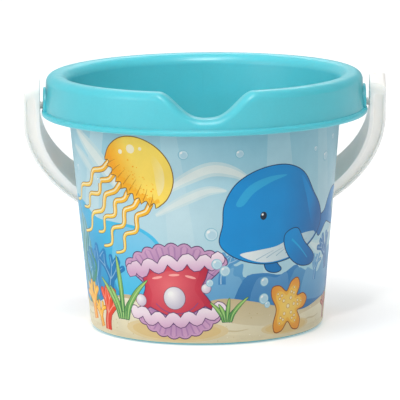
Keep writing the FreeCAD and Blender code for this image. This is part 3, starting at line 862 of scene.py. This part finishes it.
class Nodes:
    """A new material's node tree, with short calls for adding and joining nodes."""

    def __init__(self, name):
        self.material = bpy.data.materials.new(name)
        self.material.use_nodes = True
        self.tree = self.material.node_tree
        self.shader = self.tree.nodes["Principled BSDF"]

    def add(self, kind, **settings):
        node = self.tree.nodes.new(kind)
        for key, value in settings.items():
            setattr(node, key, value)
        return node

    def join(self, source, target):
        self.tree.links.new(source, target)

    def settle(self, values):
        """Constant values for the shader's own sockets, by name."""
        for name, value in values.items():
            self.shader.inputs[name].default_value = value

    def noise(self, scale, detail=3.0, roughness=0.5):
        """Noise in the object's own space, scale being waves to the metre."""
        where = self.add("ShaderNodeTexCoord")
        node = self.add("ShaderNodeTexNoise")
        for name, number in (("Scale", scale), ("Detail", detail), ("Roughness", roughness)):
            node.inputs[name].default_value = number
        self.join(where.outputs["Object"], node.inputs["Vector"])
        return node.outputs["Fac"]

    def spread(self, value, low, high):
        """A noise mapped to a range."""
        node = self.add("ShaderNodeMapRange")
        set_range(node, NOISE_LOW, NOISE_HIGH, low, high)
        self.join(value, node.inputs["Value"])
        return node.outputs["Result"]

    def blend(self, factor, a, b, mode="MIX"):
        """Two colours mixed; each argument is a constant or another node's output."""
        node = self.add("ShaderNodeMix", data_type="RGBA", blend_type=mode)
        for socket, value in ((node.inputs[0], factor), (node.inputs[6], a), (node.inputs[7], b)):
            if isinstance(value, (float, int)):
                socket.default_value = value
            elif isinstance(value, tuple):
                socket.default_value = (*value, 1.0)
            else:
                self.join(value, socket)
        return node.outputs[2]

    def bump(self, height, distance, before=None):
        """A bump of a distance in metres, over another bump's normal if one is given."""
        node = self.add("ShaderNodeBump")
        node.inputs["Distance"].default_value = distance
        self.join(height, node.inputs["Height"])
        if before is not None:
            self.join(before, node.inputs["Normal"])
        return node.outputs["Normal"]


def moulded_plastic(name, light, dark, roughness, subsurface, tint_radius):
    """Moulded plastic with faint clouding, orange peel and scuffs."""
    n = Nodes(name)
    cloud = n.noise(22.0, 4.0, 0.55)
    fleck = n.noise(900.0, 2.0)
    colour = n.blend(n.spread(cloud, 0.0, 1.0), light, dark)
    pale = tuple(min(1.0, c * 1.6) for c in light)
    colour = n.blend(n.spread(fleck, 0.0, 0.05), colour, pale)
    n.join(colour, n.shader.inputs["Base Color"])
    scuff = n.noise(140.0, 6.0, 0.75)
    rough = n.spread(scuff, roughness - SCUFF_DOWN, roughness + SCUFF_UP)
    n.join(rough, n.shader.inputs["Roughness"])
    peel = n.bump(n.noise(420.0, 2.0), PEEL)
    n.join(n.bump(n.noise(60.0, 2.0), RIPPLE, peel), n.shader.inputs["Normal"])
    n.settle({"IOR": PLASTIC_IOR, "Subsurface Weight": subsurface, "Subsurface Radius": tint_radius,
              "Subsurface Scale": SCATTER_DEPTH})
    return n.material


def printed_film():
    """Ink on a satin film: the drawing's colours, mottled like a wash, with a fine print grain."""
    n = Nodes("printed_film")
    ink = n.add("ShaderNodeVertexColor", layer_name="print").outputs["Color"]
    wash = n.spread(n.noise(75.0, 5.0, 0.6), 0.0, 1.0)
    colour = n.blend(0.55, ink, n.blend(wash, (0.84, 0.87, 0.9), (1.0, 1.0, 1.0)), "MULTIPLY")
    grain = n.spread(n.noise(2600.0, 1.0), 0.0, 1.0)
    colour = n.blend(0.3, colour, n.blend(grain, (0.9, 0.9, 0.9), (1.0, 1.0, 1.0)), "MULTIPLY")
    n.join(colour, n.shader.inputs["Base Color"])
    n.join(n.spread(n.noise(160.0, 4.0, 0.7), 0.3, 0.42), n.shader.inputs["Roughness"])
    n.join(n.bump(n.noise(320.0, 2.0), FILM_RELIEF), n.shader.inputs["Normal"])
    n.settle({"IOR": FILM_IOR, "Specular IOR Level": 0.3})
    return n.material


def finish_with(piece, material):
    """Gives a piece one material in place of any it had."""
    piece.data.materials.clear()
    piece.data.materials.append(material)


# ======== Pieces ========

EDGE_ROUND = 0.7 * MM       # softening of the bail's moulded edges
SHARP = 40                  # degrees between two faces, above which their edge is softened
COPLANAR = 0.3              # degrees, below which two triangles are one flat face
WELD = 0.001 * MM
TURQUOISE_ROUGH = 0.33      # under about 0.3 its scuffs would render mottled
WHITE_ROUGH = 0.36


def rounded_bail():
    """The CAD strap with its flat faces merged and its edges rounded."""
    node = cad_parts["bail_handle"]
    mesh = node.data.copy()
    mesh.name = "bail"
    shape = bmesh.new()
    shape.from_mesh(mesh)
    bmesh.ops.remove_doubles(shape, verts=shape.verts, dist=WELD)
    bmesh.ops.dissolve_limit(shape, angle_limit=radians(COPLANAR), verts=shape.verts, edges=shape.edges)
    sharp = [e for e in shape.edges if len(e.link_faces) == 2 and e.calc_face_angle() > radians(SHARP)]
    bmesh.ops.bevel(shape, geom=sharp, offset=EDGE_ROUND, segments=3, profile=0.5, affect="EDGES",
                    clamp_overlap=True)
    shape.to_mesh(mesh)
    shape.free()
    return add_object("bail", mesh)


def join_meshes(objects):
    """Joins objects into the first, as one mesh."""
    bpy.ops.object.select_all(action="DESELECT")
    for o in objects:
        o.select_set(True)
    bpy.context.view_layer.objects.active = objects[0]
    bpy.ops.object.join()


def build_label():
    """The film in two pieces, the back one with the seam in its middle."""
    film = printed_film()
    label_spans = {
        "label_front": [(-FRONT_EDGE, FRONT_EDGE)],
        "label_back": [(FRONT_EDGE, HALF_TURN - SEAM), (-HALF_TURN + SEAM, -FRONT_EDGE)],
    }
    for name, spans in label_spans.items():
        parts = [label_piece(name + "_part", left, right) for left, right in spans]
        piece = parts[0]
        if len(parts) > 1:
            join_meshes(parts)
        piece.name = name
        piece.data.name = name
        finish_with(piece, film)
        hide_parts("wrap_label")
        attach(piece, "pail")


def build_mouldings():
    """The pail and pins are the CAD nodes, and the bail takes its node's place."""
    turquoise = moulded_plastic("turquoise_pp", linear((80, 186, 198)), linear((73, 181, 193)),
                                TURQUOISE_ROUGH, 0.4, (0.25, 1.0, 1.1))
    white = moulded_plastic("white_pp", linear((248, 246, 241)), linear((244, 242, 237)),
                            WHITE_ROUGH, 0.5, (1.0, 0.95, 0.85))
    finish_with(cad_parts["pail_shell"], turquoise)
    for name in ("pivot_pin_left", "pivot_pin_right"):
        finish_with(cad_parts[name], white)
    bail = rounded_bail()
    finish_with(bail, white)
    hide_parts("bail_handle")
    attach(bail, "bail")


# ======== Stage, lights and camera ========

CAMERA_DISTANCE = 2.21
CAMERA_UP = 9.55            # degrees above level
CAMERA_ROUND = 0.62         # degrees round towards -X
CAMERA_ROLL = 0.64          # degrees
CAMERA_LENS = 358.5         # millimetres, on a 36 mm sensor
CAMERA_REACH = 20
ORBIT_CENTRE = Vector((0, 0, 0.070))
AIM = Vector((-0.0031, 0, 0.0692))

FLOOR_REACH = 14.0
FLOOR_DROP = -0.0002        # just under the foot ring, so that the two faces don't coincide
FLOOR_GLOW = 0.26           # lifts the floor to the photograph's white

LIT_POINT = (0, 0, 0.08)    # the middle of the pail
AREA_LIGHTS = (             # name, place, disk's width and power in watts
    ("key", (-1.7, -1.15, 0.7), 1.2, 9.5),
    ("fill", (1.5, -1.3, 0.8), 1.2, 0.5),
    ("top", (-0.15, -0.65, 1.7), 0.9, 11),
    ("behind", (0.1, 1.5, 1.2), 1.0, 5),
)
MOUTH_PLACE, MOUTH_TARGET = (0.0, -0.45, 0.75), (-0.01, 0.06, 0.10)
MOUTH_CONE = 18             # degrees
MOUTH_POWER = 14            # watts
MOUTH_BLEND, MOUTH_SIZE = 0.6, 0.06
SKY_LEFT, SKY_RIGHT = 0.72, 0.36    # world strength at -X and at +X


def make_stage():
    """A flat pale floor, open on every side so that it hides nothing from any direction."""
    corners = [(x * FLOOR_REACH, y * FLOOR_REACH, FLOOR_DROP)
               for x, y in ((-1, -1), (1, -1), (1, 1), (-1, 1))]
    mesh = bpy.data.meshes.new("floor")
    mesh.from_pydata(corners, [], [(0, 1, 2, 3)])
    floor = add_object("floor", mesh)
    n = Nodes("pale_floor")
    n.join(n.blend(n.noise(3.0), (0.93, 0.93, 0.93), (0.95, 0.95, 0.95)), n.shader.inputs["Base Color"])
    n.settle({"Roughness": 0.9, "Emission Color": (1.0, 1.0, 1.0, 1.0), "Emission Strength": FLOOR_GLOW})
    finish_with(floor, n.material)


def hang(name, kind, place, target, power):
    """A lamp at a place that shines at a target; returns its data."""
    data = bpy.data.lights.new(name, kind)
    data.energy = power
    lamp = add_object(name, data)
    lamp.location = place
    lamp.rotation_euler = (Vector(target) - Vector(place)).to_track_quat("-Z", "Y").to_euler()
    return data


def make_lights():
    """Soft lamps, a narrow one into the pail's mouth, and a pale sky."""
    for name, place, size, power in AREA_LIGHTS:
        data = hang(name, "AREA", place, LIT_POINT, power)
        data.shape = "DISK"
        data.size = size
    mouth = hang("mouth", "SPOT", MOUTH_PLACE, MOUTH_TARGET, MOUTH_POWER)
    mouth.spot_size = radians(MOUTH_CONE)
    mouth.spot_blend = MOUTH_BLEND
    mouth.shadow_soft_size = MOUTH_SIZE
    world = bpy.data.worlds.new("studio")
    world.use_nodes = True
    tree = world.node_tree
    where = tree.nodes.new("ShaderNodeTexCoord")
    axes = tree.nodes.new("ShaderNodeSeparateXYZ")
    level = tree.nodes.new("ShaderNodeMapRange")
    set_range(level, -1.0, 1.0, SKY_LEFT, SKY_RIGHT)
    tree.links.new(where.outputs["Generated"], axes.inputs["Vector"])
    tree.links.new(axes.outputs["X"], level.inputs["Value"])
    tree.links.new(level.outputs["Result"], tree.nodes["Background"].inputs["Strength"])
    tree.nodes["Background"].inputs["Color"].default_value = (1.0, 1.0, 1.0, 1.0)
    bpy.context.scene.world = world


def make_camera():
    """A long lens from just above the rim, with the photograph's slight roll."""
    up, around = radians(CAMERA_UP), radians(CAMERA_ROUND)
    back = Vector((-sin(around) * cos(up), -cos(around) * cos(up), sin(up)))
    place = ORBIT_CENTRE + back * CAMERA_DISTANCE
    data = bpy.data.cameras.new("camera")
    data.lens = CAMERA_LENS
    data.clip_end = CAMERA_REACH
    camera = add_object("camera", data)
    look = (AIM - place).to_track_quat("-Z", "Y").to_matrix().to_4x4()
    roll = Matrix.Rotation(radians(-CAMERA_ROLL), 4, "Z")
    camera.matrix_world = Matrix.Translation(place) @ look @ roll
    bpy.context.scene.camera = camera
    bpy.context.scene.view_settings.view_transform = "Standard"


for draw in (draw_sea, draw_far_reef, draw_back_reef, draw_sand, draw_front, draw_back):
    draw()
build_label()
build_mouldings()
make_stage()
make_lights()
make_camera()
